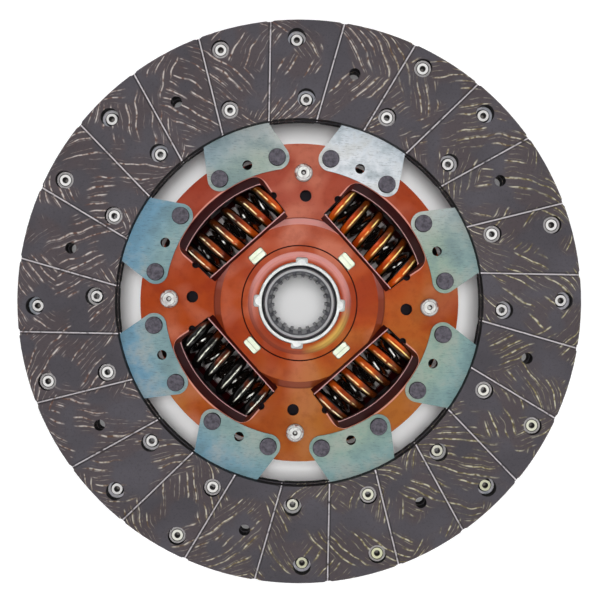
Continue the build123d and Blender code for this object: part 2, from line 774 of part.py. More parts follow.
with BuildPart() as tab_rivet:
    with BuildSketch(Plane.XZ) as tab_rivet_section:
        head = tab_rivet_head_diameter / 2
        shank = (tab_rivet_shank_diameter - rivet_clearance) / 2
        tail = tab_rivet_tail_diameter / 2
        with BuildLine():
            Polyline(
                (0, cushion_front + tab_rivet_head_height), (head, cushion_front + tab_rivet_head_height),
                (head, cushion_front), (shank, cushion_front), (shank, front_plate_back),
                (tail, front_plate_back), (tail, front_plate_back - tab_rivet_tail_height),
                (0, front_plate_back - tab_rivet_tail_height), close=True,
            )
        make_face()
        fillet(tab_rivet_section.vertices().group_by(Axis.Y)[-1].sort_by(Axis.X)[-1], tab_rivet_head_round)
        chamfer(tab_rivet_section.vertices().group_by(Axis.Y)[0].sort_by(Axis.X)[-1], tab_rivet_tail_chamfer)
    revolve(axis=Axis.Z)

with BuildPart() as cushion_rivets:
    for angle in cushion_angles:
        with Locations(at(tab_rivet_radius, angle - tab_rivet_half_angle),
                       at(tab_rivet_radius, angle + tab_rivet_half_angle)):
            add(tab_rivet.part)
save(cushion_rivets.part, "cushion_rivets")

# ---------------------------------------------------------------- springs


def coil_spring(diameter, wire, pitch, hand):
    """Coil spring along Y at the spring distance on +X: closed end turns, ends ground flat."""
    mean = (diameter - wire) / 2
    closed_pitch = wire + closed_coil_gap
    closed_rise = closed_turns * closed_pitch
    start = -spring_length / 2 + ground_wire_share * wire
    active_turns = (-2 * start - 2 * closed_rise) / pitch
    turns = active_turns + 2 * closed_turns
    # The turns seen from the front stand evenly about the window's middle
    front_turn = (turns - int(turns)) / 2
    steps = round(turns * points_per_turn)
    points = []
    for step in range(steps + 1):
        turn = turns * step / steps
        end_turn = turns - closed_turns
        rise = closed_pitch * min(turn, closed_turns)
        rise += pitch * max(0, min(turn, end_turn) - closed_turns)
        rise += closed_pitch * max(0, turn - end_turn)
        angle = 90 + hand * 360 * (front_turn - turn)
        x, z = at(mean, angle)
        points.append((spring_distance + x, start + rise, flange_middle + z))
    with BuildPart() as spring:
        with BuildLine() as centre_line:
            Spline(*points)
        with BuildSketch(Plane(centre_line.edge() @ 0, z_dir=centre_line.edge() % 0)):
            Circle(wire / 2)
        sweep(path=centre_line.edge(), is_frenet=True)
        with BuildSketch(Plane.XZ) as ground:
            with Locations((spring_distance, flange_middle)):
                Circle(diameter)
        extrude(amount=spring_length / 2, both=True, mode=Mode.INTERSECT)
    return spring.part


damper_spring = coil_spring(spring_diameter, spring_wire, spring_pitch, 1)
inner_spring = coil_spring(inner_spring_diameter, inner_spring_wire, inner_spring_pitch, -1)
for index, angle in enumerate(window_angles):
    save(damper_spring.rotate(Axis.Z, angle), f"damper_spring_{index + 1}")
    save(inner_spring.rotate(Axis.Z, angle), f"inner_spring_{index + 1}")
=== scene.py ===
import bmesh
import bpy
import json
import math
from mathutils import Matrix, Vector

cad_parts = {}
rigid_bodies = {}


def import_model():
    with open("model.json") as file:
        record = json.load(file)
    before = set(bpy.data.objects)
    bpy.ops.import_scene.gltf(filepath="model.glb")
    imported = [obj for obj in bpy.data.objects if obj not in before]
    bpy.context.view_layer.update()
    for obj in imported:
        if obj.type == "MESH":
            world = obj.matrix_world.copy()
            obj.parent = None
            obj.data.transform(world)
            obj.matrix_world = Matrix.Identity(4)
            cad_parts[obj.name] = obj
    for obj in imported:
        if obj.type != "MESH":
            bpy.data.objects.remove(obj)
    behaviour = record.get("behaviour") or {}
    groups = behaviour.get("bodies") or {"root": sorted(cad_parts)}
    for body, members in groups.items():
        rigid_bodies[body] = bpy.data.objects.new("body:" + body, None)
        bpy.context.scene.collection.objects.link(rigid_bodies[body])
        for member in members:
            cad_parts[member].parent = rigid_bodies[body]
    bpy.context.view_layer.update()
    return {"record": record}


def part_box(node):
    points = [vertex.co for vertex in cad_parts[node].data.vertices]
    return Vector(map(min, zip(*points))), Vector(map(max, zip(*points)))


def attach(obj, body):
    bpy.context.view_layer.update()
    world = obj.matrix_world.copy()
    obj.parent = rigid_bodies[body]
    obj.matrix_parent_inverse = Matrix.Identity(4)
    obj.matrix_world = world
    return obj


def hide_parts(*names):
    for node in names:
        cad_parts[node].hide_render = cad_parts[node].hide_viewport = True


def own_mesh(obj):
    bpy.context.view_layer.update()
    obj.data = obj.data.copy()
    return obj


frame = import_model()
MM = 0.001


# ---------------------------------------------------------------- shader helpers

class Value:
    """A shader socket whose arithmetic adds Math nodes."""

    def __init__(self, finish, socket):
        self.finish = finish
        self.socket = socket

    def math(self, operation, *operands, clamp=False):
        inputs = dict(enumerate(operands))
        return self.finish.node("ShaderNodeMath", {"operation": operation, "use_clamp": clamp}, inputs)

    def __add__(self, other):
        return self.math("ADD", self, other)

    __radd__ = __add__

    def __mul__(self, other):
        return self.math("MULTIPLY", self, other)

    __rmul__ = __mul__

    def __sub__(self, other):
        return self.math("SUBTRACT", self, other)

    def __rsub__(self, other):
        return self.math("SUBTRACT", other, self)

    def __truediv__(self, other):
        return self.math("DIVIDE", self, other)

    def __pow__(self, other):
        return self.math("POWER", self, other)

    def above(self, edge, soft):
        """0 below the edge, 1 above it, with a soft step between."""
        return self.math("ADD", (self - edge) / soft, 0.5, clamp=True)

    def below(self, edge, soft):
        return 1 - self.above(edge, soft)

    def near(self, place, reach, soft):
        """1 within reach of a place, 0 away from it, with a soft step between."""
        return (self - place).absolute().below(reach, soft)

    def sine(self):
        return self.math("SINE", self)

    def cosine(self):
        return self.math("COSINE", self)

    def arcsine(self):
        return self.math("ARCSINE", self)

    def angle_from(self, along):
        """Angle of the point that lies this far across and the other value along."""
        return self.math("ARCTAN2", self, along)

    def absolute(self):
        return self.math("ABSOLUTE", self)

    def sign(self):
        return self.math("SIGN", self)

    def rounded(self):
        return self.math("ROUND", self)

    def wrapped(self, half):
        """Wrapped to between minus and plus half of a period."""
        return self.math("WRAP", self, half, -half)

    def lower(self, other):
        return self.math("MINIMUM", self, other)

    def higher(self, other):
        return self.math("MAXIMUM", self, other)


class Finish:
    """The nodes of one material, or of the world round the scene."""

    def __init__(self, name, collection=bpy.data.materials):
        self.owner = collection.new(name)
        self.owner.use_nodes = True
        self.tree = self.owner.node_tree
        self.tree.nodes.clear()

    def node(self, kind, settings=None, inputs=None, output=0):
        """Add a node: its settings first, then the values or links of its sockets."""
        node = self.tree.nodes.new(kind)
        for name, value in (settings or {}).items():
            if name == "stops":
                self.set_stops(node.color_ramp, value)
            else:
                setattr(node, name, value)
        for name, value in (inputs or {}).items():
            if isinstance(value, Value):
                self.tree.links.new(value.socket, node.inputs[name])
            else:
                node.inputs[name].default_value = value
        return Value(self, node.outputs[output]) if len(node.outputs) else None

    @staticmethod
    def set_stops(ramp, stops):
        while len(ramp.elements) < len(stops):
            ramp.elements.new(0.5)
        for element, (place, colour) in zip(ramp.elements, stops):
            element.position = place
            element.color = (*colour, 1)

    def place(self):
        """The point on the piece, in metres."""
        return self.node("ShaderNodeTexCoord", output="Object")

    def split(self, vector):
        node = self.node("ShaderNodeSeparateXYZ", inputs={0: vector}).socket.node
        return [Value(self, node.outputs[i]) for i in range(3)]

    def join(self, x, y, z):
        return self.node("ShaderNodeCombineXYZ", inputs={0: x, 1: y, 2: z})

    def noise(self, vector, scale, detail=2.0, roughness=0.5, distortion=0.0):
        """Cloudy pattern from 0 to 1, with so many cells to each unit of the vector."""
        inputs = {"Vector": vector, "Scale": scale, "Detail": detail, "Roughness": roughness,
                  "Distortion": distortion}
        return self.node("ShaderNodeTexNoise", inputs=inputs)

    def ramp(self, factor, *stops):
        return self.node("ShaderNodeValToRGB", {"stops": stops}, {0: factor})

    def mix(self, factor, first, second):
        """Blend two colours."""
        first = first if isinstance(first, Value) else (*first, 1)
        second = second if isinstance(second, Value) else (*second, 1)
        return self.node("ShaderNodeMix", {"data_type": "RGBA"}, {0: factor, 6: first, 7: second}, output=2)

    def polar(self):
        """Radius and angle about the disc axis, and height along it."""
        x, y, height = self.split(self.place())
        radius = (x * x + y * y) ** 0.5
        return radius, y.angle_from(x), height

    def steep(self):
        """0 on faces across the disc axis, 1 on faces along it."""
        normal = self.node("ShaderNodeNewGeometry", output="Normal")
        return 1 - self.split(normal)[2].absolute()

    def seen(self):
        """1 on rays from the camera or by way of a mirror or glass."""
        paths = [self.node("ShaderNodeLightPath", output=f"Is {kind} Ray")
                 for kind in ("Camera", "Glossy", "Transmission")]
        return paths[0].higher(paths[1]).higher(paths[2])

    def bump(self, height, strength, distance):
        inputs = {"Height": height, "Strength": strength, "Distance": distance}
        return self.node("ShaderNodeBump", inputs=inputs)

    def surface(self, **sockets):
        """Principled shader with its sockets named by words joined with underscores."""
        inputs = {}
        for name, value in sockets.items():
            name = " ".join(word if word == "IOR" else word.capitalize() for word in name.split("_"))
            inputs[name] = (*value, 1) if isinstance(value, tuple) and len(value) == 3 else value
        shader = self.node("ShaderNodeBsdfPrincipled", inputs=inputs)
        self.node("ShaderNodeOutputMaterial", inputs={"Surface": shader})
        return self.owner


def linear(red, green, blue):
    """Colour given as it looks on a screen, 0 to 255, in linear light."""
    def channel(value):
        value = value / 255
        return value / 12.92 if value <= 0.04045 else ((value + 0.055) / 1.055) ** 2.4
    return (channel(red), channel(green), channel(blue))


# ---------------------------------------------------------------- sizes that the finishes follow

window_count = 4
window_angle = math.radians(45)
tab_count = 8

facing_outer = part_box("front_facing")[1][0]
facing_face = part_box("front_facing")[1][2]
facing_inner = 90.0 * MM
groove_count = 24
groove_start = math.radians(2.3)
groove_offset = 16.5 * MM
groove_shade_offset = 0.75 * MM

front_plate_back, plate_top = (corner[2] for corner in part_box("front_plate"))
rear_plate_inner_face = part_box("rear_plate")[1][2]
dome_foot = 42.0 * MM
collar_radius = 23.4 * MM
collar_reach = 1.6 * MM
tab_hole_row = 72.5 * MM
tab_hole_shade = 3.4 * MM
tab_angle = math.radians(24.05)
hood_foot = 66.3 * MM
hood_corner = 5.5 * MM
hood_flare = math.radians(8)
notch_along = 25.6 * MM
notch_across = 48.3 * MM
hood_foot_highlight_width = 0.7 * MM

tab_green_within = 79.0 * MM
tab_blue_beyond = 82.0 * MM
tab_plain_beyond = 92.0 * MM
paddle_angle = math.radians(34.8)
rivet_rows = ((99.9 * MM, math.radians(11.65)),
              (128.9 * MM, math.radians(14.15)))
rivet_tail_edge = 3.2 * MM
rivet_tail_shadow_ring = 3.1 * MM
rivet_rim_shadow_ring = 2.95 * MM
rivet_mouth = 1.5 * MM
rivet_bore_light = 0.75 * MM

pin_radius = 64.18 * MM
pin_angle = math.radians(1.5)
pin_brown_from = 3.4 * MM
pin_turned_ring = 3.1 * MM
pin_dimple_shade_ring = 0.85 * MM

hub_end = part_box("hub")[1][2]
hub_dark_from = 30.0 * MM

spring_distance = 49.1 * MM
spring_middle = sum(corner[2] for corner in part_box("damper_spring_1")) / 2
spring_length = 49.6 * MM
closed_turns = 0.5
closed_gap = 0.2 * MM


class Coil:
    """One kind of spring, given in millimetres, with closed, ground ends and an even pitch between them."""

    def __init__(self, diameter, wire, pitch, hand):
        self.wire = wire * MM
        self.pitch = pitch * MM
        self.hand = hand
        self.mean = (diameter - wire) / 2 * MM
        self.closed_pitch = self.wire + closed_gap
        self.start = -spring_length / 2 + self.wire / 4
        active = (-2 * self.start - 2 * closed_turns * self.closed_pitch) / self.pitch
        self.turns = active + 2 * closed_turns
        self.front_turn = (self.turns - int(self.turns)) / 2
        self.front_place = self.rise(self.front_turn + 1) + self.start

    def rise(self, turn):
        """Way along the axis from the first turn."""
        end = self.turns - closed_turns
        even = self.pitch * max(0, min(turn, end) - closed_turns)
        return self.closed_pitch * (min(turn, closed_turns) + max(0, turn - end)) + even

    def centre(self, turn):
        """Middle of the wire, with the spring's axis along Y."""
        around = math.pi / 2 + self.hand * 2 * math.pi * (self.front_turn - turn)
        return Vector((spring_distance + self.mean * math.cos(around), self.start + self.rise(turn),
                       spring_middle + self.mean * math.sin(around)))


damper_coil = Coil(diameter=25.0, wire=5.2, pitch=8.9, hand=1)
inner_coil = Coil(diameter=13.4, wire=3.0, pitch=5.2, hand=-1)


# ---------------------------------------------------------------- finishes

def wire_strands(f, radius, angle, clumps):
    """Short strands of wire in the yarn, which is wound to and fro across the facing."""
    lobes = 7
    overrun = 1.03
    sway = 0.3
    lane_shift = 3.7
    layer_shift = 5.0
    place = f.place()
    middle = (facing_inner + facing_outer) / 2
    swing = (facing_outer - facing_inner) / 2 * overrun
    slant = ((radius - middle) / swing).higher(-1.0).lower(1.0).arcsine()
    wobble = f.noise(place, 95, detail=1) - 0.5
    patches = f.noise(place, 40, detail=0)
    strands = None
    for spread, weight, thickness, length in ((150, 1.0, 0.075, 0.5), (260, 0.24, 0.08, 1.2)):
        lanes_per_lobe = spread / (2 * math.pi * lobes)
        for sign, patch in ((1, patches.above(0.5, soft=0.04)), (-1, patches.below(0.47, soft=0.04))):
            lane = (angle * lobes + slant * sign + wobble * sway) * lanes_per_lobe
            partner = angle * lobes - slant * sign
            number = lane.rounded()
            thin = lane.near(number, thickness, soft=0.1)
            along = f.join(number * lane_shift, partner * length, sign * layer_shift)
            dash = f.noise(along, 1.0, detail=0).above(0.47, soft=0.06)
            strand = thin * dash * patch * clumps.above(0.47, soft=0.08) * weight
            strands = strand if strands is None else strands.higher(strand)
    return strands


def groove_colour(f, colour, radius, angle, glints):
    """Painted shade along the edges of each slanting groove, and a painted highlight down its middle."""
    lean = (radius ** -1) * groove_offset
    turn = (angle - groove_start - lean.arcsine()).wrapped(math.pi / groove_count)
    from_groove = (radius * turn).absolute()
    # painted shade along both edges of the groove
    edge = from_groove.near(groove_shade_offset, reach=0.3 * MM, soft=0.3 * MM)
    colour = f.mix(edge * 0.6, colour, linear(38, 36, 38))
    # painted highlight down the middle of the groove
    groove_highlight = from_groove.below(0.3 * MM, soft=0.25 * MM) * glints.above(0.32, soft=0.2)
    return f.mix(groove_highlight, colour, linear(216, 210, 214))


def facing_finish():
    """Dark friction lining wound from yarn with brass and copper wire, ground flat."""
    f = Finish("wound_friction_lining")
    place = f.place()
    radius, angle, _ = f.polar()
    x, y, _ = f.split(place)
    clumps = f.noise(place, 62, detail=1)
    glints = f.noise(place, 420, detail=1)
    grain = f.noise(place, 900, detail=3, roughness=0.7)
    clouds = f.noise(place, 38, detail=3)
    wires = wire_strands(f, radius, angle, clumps)
    colour = f.ramp(clouds, (0.3, linear(72, 69, 74)), (0.7, linear(85, 82, 88)))
    colour = f.mix(clumps.above(0.47, soft=0.12) * 0.3, colour, linear(84, 66, 62))
    colour = f.mix(grain.above(0.6, soft=0.15) * 0.4, colour, linear(52, 48, 52))
    # the brightest ends of these ramps are painted glints on the wire
    copper = f.ramp(glints, (0.38, linear(124, 92, 80)), (0.47, linear(192, 172, 162)),
                    (0.6, linear(242, 232, 226)))
    brass = f.ramp(glints, (0.38, linear(116, 104, 66)), (0.47, linear(176, 166, 122)),
                   (0.6, linear(240, 234, 206)))
    brass_side = (x * 5.0 - y * 3.0 + f.noise(place, 30, detail=1)).above(0.5, soft=0.9)
    colour = f.mix(wires * 0.85, colour, f.mix(brass_side, copper, brass))
    colour = groove_colour(f, colour, radius, angle, glints)
    # painted shade: the steep faces of the lining are drawn near black
    colour = f.mix(f.steep().above(0.4, soft=0.3), colour, linear(26, 24, 26))
    relief = f.bump(grain * 0.6 + wires * 0.5, strength=0.3, distance=0.2 * MM)
    return f.surface(base_color=colour, roughness=0.66 - wires * 0.26, metallic=wires * 0.5,
                     specular_IOR_level=0.3, normal=relief)


def window_distance(f, radius, angle):
    """Distance outwards from the foot of the nearest window's hood, and the place across the window."""
    turn = (angle - window_angle).wrapped(math.pi / window_count)
    across = radius * turn.cosine()
    along = (radius * turn.sine()).absolute()
    outward = radius - hood_foot + hood_corner
    sideways = (along - notch_along) * math.cos(hood_flare) - (across - notch_across) * math.sin(hood_flare)
    sideways = sideways + hood_corner
    rounded = (outward.higher(0.0) ** 2 + sideways.higher(0.0) ** 2) ** 0.5
    return rounded - hood_corner + outward.higher(sideways).lower(0.0), across


def varnish_colour(f):
    """Copper red, with painted reflections that make it pinker towards one side of the disc and more olive
    towards the other, and pale patches of painted sheen.
    """
    place = f.place()
    x, y, _ = f.split(place)
    drift = f.noise(place, 26, detail=2, distortion=0.8)
    colour = f.ramp(drift, (0.32, linear(158, 56, 12)), (0.5, linear(172, 70, 18)),
                    (0.68, linear(184, 90, 32)))
    # painted reflection: pinker towards one side of the disc
    pink = (y * 8.0 - x * 2.5 + (drift - 0.5) * 1.6).above(0.34, soft=0.7)
    colour = f.mix(pink * 0.8, colour, linear(158, 68, 58))
    # painted sheen: pale patches
    sheen = f.noise(place, 48, detail=1).above(0.56, soft=0.14)
    colour = f.mix(sheen * 0.55, colour, linear(204, 124, 100))
    burnt = f.noise(place, 34, detail=1, distortion=1.0).below(0.43, soft=0.1)
    colour = f.mix(burnt * 0.5, colour, linear(146, 44, 10))
    # painted reflection: more olive towards the other side of the disc
    olive = (x * 2.0 - y * 8.0 + (drift - 0.5) * 1.4).above(0.35, soft=0.6)
    return f.mix(olive * 0.6, colour, linear(170, 112, 46))


def painted_light_on_pressing(f, colour, fine, steep):
    """Painted shade as a dark line at the foot of the raised centre, and painted light in pink and gold on
    the slopes and the collar.
    """
    radius, angle, height = f.polar()
    up = angle.sine()
    front = height.above(front_plate_back, soft=0.1 * MM)
    # painted shade: a dark line round the foot of the raised centre
    dome_foot_shade = radius.near(dome_foot, reach=0.4 * MM, soft=0.4 * MM) * front
    colour = f.mix(dome_foot_shade * 0.7, colour, linear(70, 12, 8))
    colour = f.mix(fine.above(0.58, soft=0.2) * 0.22, colour, linear(104, 24, 10))
    # painted light: the slopes are pink towards one side of the disc and brown on the others
    slope = steep.above(0.09, soft=0.05) * steep.below(0.21, soft=0.03)
    lit = f.mix(up.above(0.35, soft=0.5), linear(118, 40, 14), linear(226, 160, 154))
    colour = f.mix(slope * 0.75, colour, lit)
    # painted light: the collar is pinker towards one side, with a gold highlight at one angle
    collar = radius.near(collar_radius, collar_reach, soft=1.5 * MM) * front
    crown = f.mix(up.above(-0.1, soft=1.0), linear(150, 66, 40), linear(226, 158, 152))
    gold = angle.near(math.radians(-42), reach=0.5, soft=0.5)
    return f.mix(collar * 0.6, colour, f.mix(gold, crown, linear(226, 196, 96)))


def plate_finish():
    """Pressed steel under a clear copper-red varnish, with painted shade in dark wine on the steep faces."""
    f = Finish("copper_red_varnish")
    place = f.place()
    radius, angle, height = f.polar()
    fine = f.noise(place, 240, detail=4, roughness=0.65)
    steep = f.steep()
    colour = painted_light_on_pressing(f, varnish_colour(f), fine, steep)
    # painted shade: the plate seen through each tab's hole is drawn near black
    tab_turn = (angle - tab_angle).wrapped(math.pi / tab_count)
    from_hole = ((radius - tab_hole_row) ** 2 + (radius * tab_turn) ** 2) ** 0.5
    inside = height.above(rear_plate_inner_face - 1 * MM, soft=0.2 * MM)
    colour = f.mix(from_hole.below(tab_hole_shade, soft=0.3 * MM) * inside, colour, linear(10, 8, 8))
    distance, across = window_distance(f, radius, angle)
    # painted highlight: a pale line along the foot of each window's hood
    hood_foot_highlight = distance.near(hood_foot_highlight_width / 2, reach=hood_foot_highlight_width / 2, soft=0.3 * MM)
    hood_foot_highlight = hood_foot_highlight * across.above(notch_across, soft=1.5 * MM)
    colour = f.mix(hood_foot_highlight * 0.7, colour, linear(235, 170, 158))
    # painted shade: the steep faces are drawn dark wine, as if turned away from the light
    steep_face_shade = f.mix(fine, linear(26, 1, 3), linear(62, 5, 8))
    colour = f.mix(steep.above(0.215, soft=0.02), colour, steep_face_shade)
    # painted highlight: the tops of the hood crests are drawn pale pink
    rim = height.above(plate_top - 0.35 * MM, soft=0.1 * MM)
    colour = f.mix(rim * 0.9, colour, linear(216, 166, 166))
    relief = f.bump(f.noise(place, 70, detail=3), strength=0.12, distance=0.4 * MM)
    return f.surface(base_color=colour, roughness=0.34 + fine * 0.12, metallic=0.2, coat_weight=0.25,
                     coat_roughness=0.12, specular_IOR_level=0.3, normal=relief)


def tinted_steel_finish():
    """Spring steel tinted differently round the disc: bluer on one side, straw towards another, greener
    inwards and near white at one angle.
    """
    f = Finish("tinted_spring_steel")
    place = f.place()
    radius, angle, _ = f.polar()
    x, y, z = f.split(place)
    cloud = f.noise(place, 60, detail=4, roughness=0.6)
    grain = f.noise(f.join(x, y * 6.0, z), 420, detail=3, roughness=0.65)
    blue_side = (x * -6.0 + (cloud - 0.5) * 0.6).above(0.1, soft=0.5)
    tint = f.mix(blue_side, linear(146, 177, 172), linear(120, 164, 190))
    straw_side = (y * 8.0 + x * 1.5).above(0.5, soft=0.5)
    tint = f.mix(straw_side * 0.85, tint, linear(198, 190, 176))
    tint = f.mix(radius.below(tab_green_within, soft=12 * MM) * 0.45, tint, linear(162, 180, 154))
    pale = angle.near(math.radians(68), reach=0.45, soft=0.5)
    tint = f.mix(pale, tint, linear(236, 240, 245))
    tint = f.mix(radius.above(tab_blue_beyond, soft=12 * MM) * 0.2, tint, linear(114, 160, 182))
    tint = f.mix(radius.above(tab_plain_beyond, soft=4 * MM), tint, linear(206, 204, 212))
    tint = f.mix(cloud.above(0.56, soft=0.16) * 0.5, tint, linear(192, 190, 178))
    tint = f.mix(cloud.below(0.42, soft=0.14) * 0.5, tint, linear(108, 134, 142))
    tint = f.mix(grain.above(0.6, soft=0.1) * 0.35, tint, linear(66, 72, 76))
    # painted shadow: a dark ring round each rivet tail on the cushion plates
    tail_shadow_ring = rivet_distance(f).near(rivet_tail_shadow_ring, reach=0.35 * MM, soft=0.2 * MM)
    tint = f.mix(tail_shadow_ring, tint, linear(24, 22, 26))
    # painted shade: the steep faces are drawn dark
    tint = f.mix(f.steep().above(0.4, soft=0.3), tint, linear(40, 38, 40))
    return f.surface(base_color=tint, roughness=0.36 + grain * 0.14, metallic=0.3,
                     normal=f.bump(grain + cloud * 2, strength=0.14, distance=0.1 * MM))


def steel_finish(name, light, dark, rough, metal, scale=300, relief=0.1, edge=None, side_shade_from=0.3):
    """Fine grain between two tones, with painted shade in another colour on the steep faces where one is
    given.
    """
    grain_rough = 0.12
    f = Finish(name)
    grain = f.noise(f.place(), scale, detail=4, roughness=0.65)
    colour = f.ramp(grain, (0.35, dark), (0.65, light))
    # painted shade: the steep faces take the given darker colour
    if edge:
        colour = f.mix(f.steep().above(side_shade_from, soft=0.2), colour, edge)
    return f.surface(base_color=colour, roughness=rough + grain * grain_rough - grain_rough / 2,
                     metallic=metal, normal=f.bump(grain, strength=relief, distance=0.1 * MM))


def rivet_distance(f):
    """Distance from the axis of the nearest tubular rivet."""
    radius, angle, _ = f.polar()
    turn = (angle - paddle_angle).wrapped(math.pi / tab_count).absolute()
    nearest = None
    for row, half_angle in rivet_rows:
        away = ((radius - row) ** 2 + (radius * (turn - half_angle)) ** 2) ** 0.5
        nearest = away if nearest is None else nearest.lower(away)
    return nearest


def tubular_rivet_finish():
    """Plated steel tube: bright ring round a mouth drawn dark as painted shade, with a ring of painted
    shadow and painted light deep in the bore, yellower on one side of the disc.
    """
    f = Finish("tubular_rivet_steel")
    x, y, _ = f.split(f.place())
    away = rivet_distance(f)
    grain = f.noise(f.place(), 500, detail=3)
    yellow = (x * 3.0 - y * 6.0).above(0.66, soft=0.5)
    bright = f.mix(yellow * 0.7, linear(244, 242, 240), linear(214, 216, 150))
    matt = f.mix(grain, linear(140, 136, 138), linear(196, 192, 192))
    colour = f.mix(away.above(rivet_tail_edge, soft=0.2 * MM), bright, matt)
    # painted shadow: a dark ring just inside the tail's rim
    rim_shadow_ring = away.near(rivet_rim_shadow_ring, reach=0.22 * MM, soft=0.15 * MM)
    colour = f.mix(rim_shadow_ring, colour, linear(22, 20, 24))
    # painted shade: the mouth of the bore is drawn dark
    colour = f.mix(away.below(rivet_mouth, soft=0.12 * MM), colour, linear(52, 50, 50))
    # painted light: a lighter spot deep in the bore
    colour = f.mix(away.below(rivet_bore_light, soft=0.3 * MM), colour, linear(120, 116, 112))
    return f.surface(base_color=colour, roughness=0.36, metallic=0.15,
                     normal=f.bump(grain, strength=0.15, distance=0.1 * MM))


def pin_finish():
    """Bright pin heads with a shallow dimple in the middle marked by painted shade, a little brown round the
    rim, and painted shade on the steep faces.
    """
    f = Finish("bright_pin_steel")
    radius, angle, _ = f.polar()
    turn = (angle - pin_angle).wrapped(math.pi / window_count)
    away = ((radius - pin_radius) ** 2 + (radius * turn) ** 2) ** 0.5
    grain = f.noise(f.place(), 420, detail=3, roughness=0.6)
    blots = f.noise(f.place(), 300, detail=0)
    colour = f.ramp(grain, (0.35, linear(196, 192, 190)), (0.55, linear(240, 240, 236)))
    brown = away.above(pin_brown_from, soft=0.5 * MM) * grain.above(0.52, soft=0.1)
    colour = f.mix(brown, colour, linear(150, 96, 84))
    turned = away.near(pin_turned_ring, reach=0.25 * MM, soft=0.2 * MM) * grain.above(0.46, soft=0.1)
    colour = f.mix(turned * 0.7, colour, linear(96, 88, 90))
    # painted shade: a dark ring in the dimple
    dimple = away.near(pin_dimple_shade_ring, reach=0.22 * MM, soft=0.15 * MM) * blots.above(0.46, soft=0.1)
    colour = f.mix(dimple, colour, linear(30, 28, 30))
    # painted shade on the steep faces
    colour = f.mix(f.steep().above(0.3, soft=0.2), colour, linear(60, 42, 40))
    return f.surface(base_color=colour, roughness=0.3, metallic=0.25,
                     normal=f.bump(grain, strength=0.12, distance=0.1 * MM))


def wire_place(f, coil):
    """Place across the wire from -1 to 1, angle round the spring's axis, and way out from that axis."""
    radius, angle, height = f.polar()
    turn = (angle - window_angle).wrapped(math.pi / window_count)
    out = radius * turn.cosine() - spring_distance
    around = (height - spring_middle).angle_from(out)
    along = radius * turn.sine() - coil.front_place
    shift = along + (around - math.pi / 2) * (coil.pitch * coil.hand / (2 * math.pi))
    return shift.wrapped(coil.pitch / 2) / (coil.wire / 2), around, out


def damper_spring_finish():
    """Varnished wire: orange, with painted shade in olive on one flank, dark on the outer part and near
    black between the turns, and a painted highlight line along each turn; black on one side of the disc.
    """
    f = Finish("varnished_spring_wire")
    place = f.place()
    x, y, _ = f.split(place)
    drift = f.noise(place, 110, detail=2)
    share, around, out = wire_place(f, damper_coil)
    flank = share * x.sign() * -1.0
    warm = (x * 8.0 + y * 6.0 + (drift - 0.5) * 0.8).above(-0.12, soft=0.7)
    varnish = f.ramp(drift, (0.36, linear(188, 62, 8)), (0.6, linear(236, 100, 22)))
    # painted shade: olive on one flank of each turn
    varnish = f.mix(flank.above(0.42, soft=0.25), varnish, linear(82, 56, 14))
    # painted shadow: darker on the outer part of the coil, under the hood
    varnish = f.mix(out.above(1.5 * MM, soft=5 * MM) * 0.8, varnish, linear(58, 38, 14))
    colour = f.mix(warm, linear(16, 14, 13), varnish)
    crest = around.sine().above(0.84, soft=0.14)
    # painted highlight: a bright line along the crest of each turn
    glint_line = (flank - 0.2 + (drift - 0.5) * 0.3).absolute().below(0.12, soft=0.1)
    glint_line = glint_line * crest * f.noise(place, 300, detail=1).above(0.4, soft=0.16)
    colour = f.mix(glint_line, colour, f.mix(warm, linear(236, 236, 222), linear(255, 226, 138)))
    # painted shade: near black at the sides of the wire, between the turns
    colour = f.mix(share.absolute().above(0.72, soft=0.2), colour, linear(8, 6, 6))
    relief = f.bump(f.noise(place, 600, detail=2), strength=0.06, distance=0.1 * MM)
    return f.surface(base_color=colour, roughness=0.24, metallic=(1 - glint_line) * 0.4, coat_weight=0.5,
                     coat_roughness=0.08, specular_IOR_level=0.2, normal=relief)


def inner_spring_finish():
    """Black wire with a painted highlight line on the crest of each turn."""
    f = Finish("inner_spring_wire")
    place = f.place()
    share, around, _ = wire_place(f, inner_coil)
    # painted highlight: a white line on the crest of each turn
    line = share.absolute().below(0.26, soft=0.14) * around.sine().above(0.93, soft=0.06)
    line = line * f.noise(place, 260, detail=0).above(0.46, soft=0.1)
    black = f.mix(f.noise(place, 200), linear(16, 13, 12), linear(34, 26, 22))
    colour = f.mix(line, black, linear(252, 250, 244))
    return f.surface(base_color=colour, roughness=0.26, metallic=(1 - line) * 0.4, coat_weight=0.4,
                     specular_IOR_level=0.2)


def hub_finish():
    """Phosphated steel, bright on the turned end of the nose and darker on the flange."""
    f = Finish("phosphated_hub_steel")
    radius, _, height = f.polar()
    grain = f.noise(f.place(), 320, detail=4, roughness=0.65)
    colour = f.ramp(grain, (0.35, linear(74, 74, 80)), (0.65, linear(112, 112, 116)))
    colour = f.mix(height.above(hub_end - 0.2 * MM, soft=0.1 * MM), colour, linear(196, 196, 198))
    colour = f.mix(radius.above(hub_dark_from, soft=4 * MM), colour, linear(44, 40, 46))
    return f.surface(base_color=colour, roughness=0.36 + grain * 0.12, metallic=0.6,
                     normal=f.bump(grain, strength=0.12, distance=0.1 * MM))


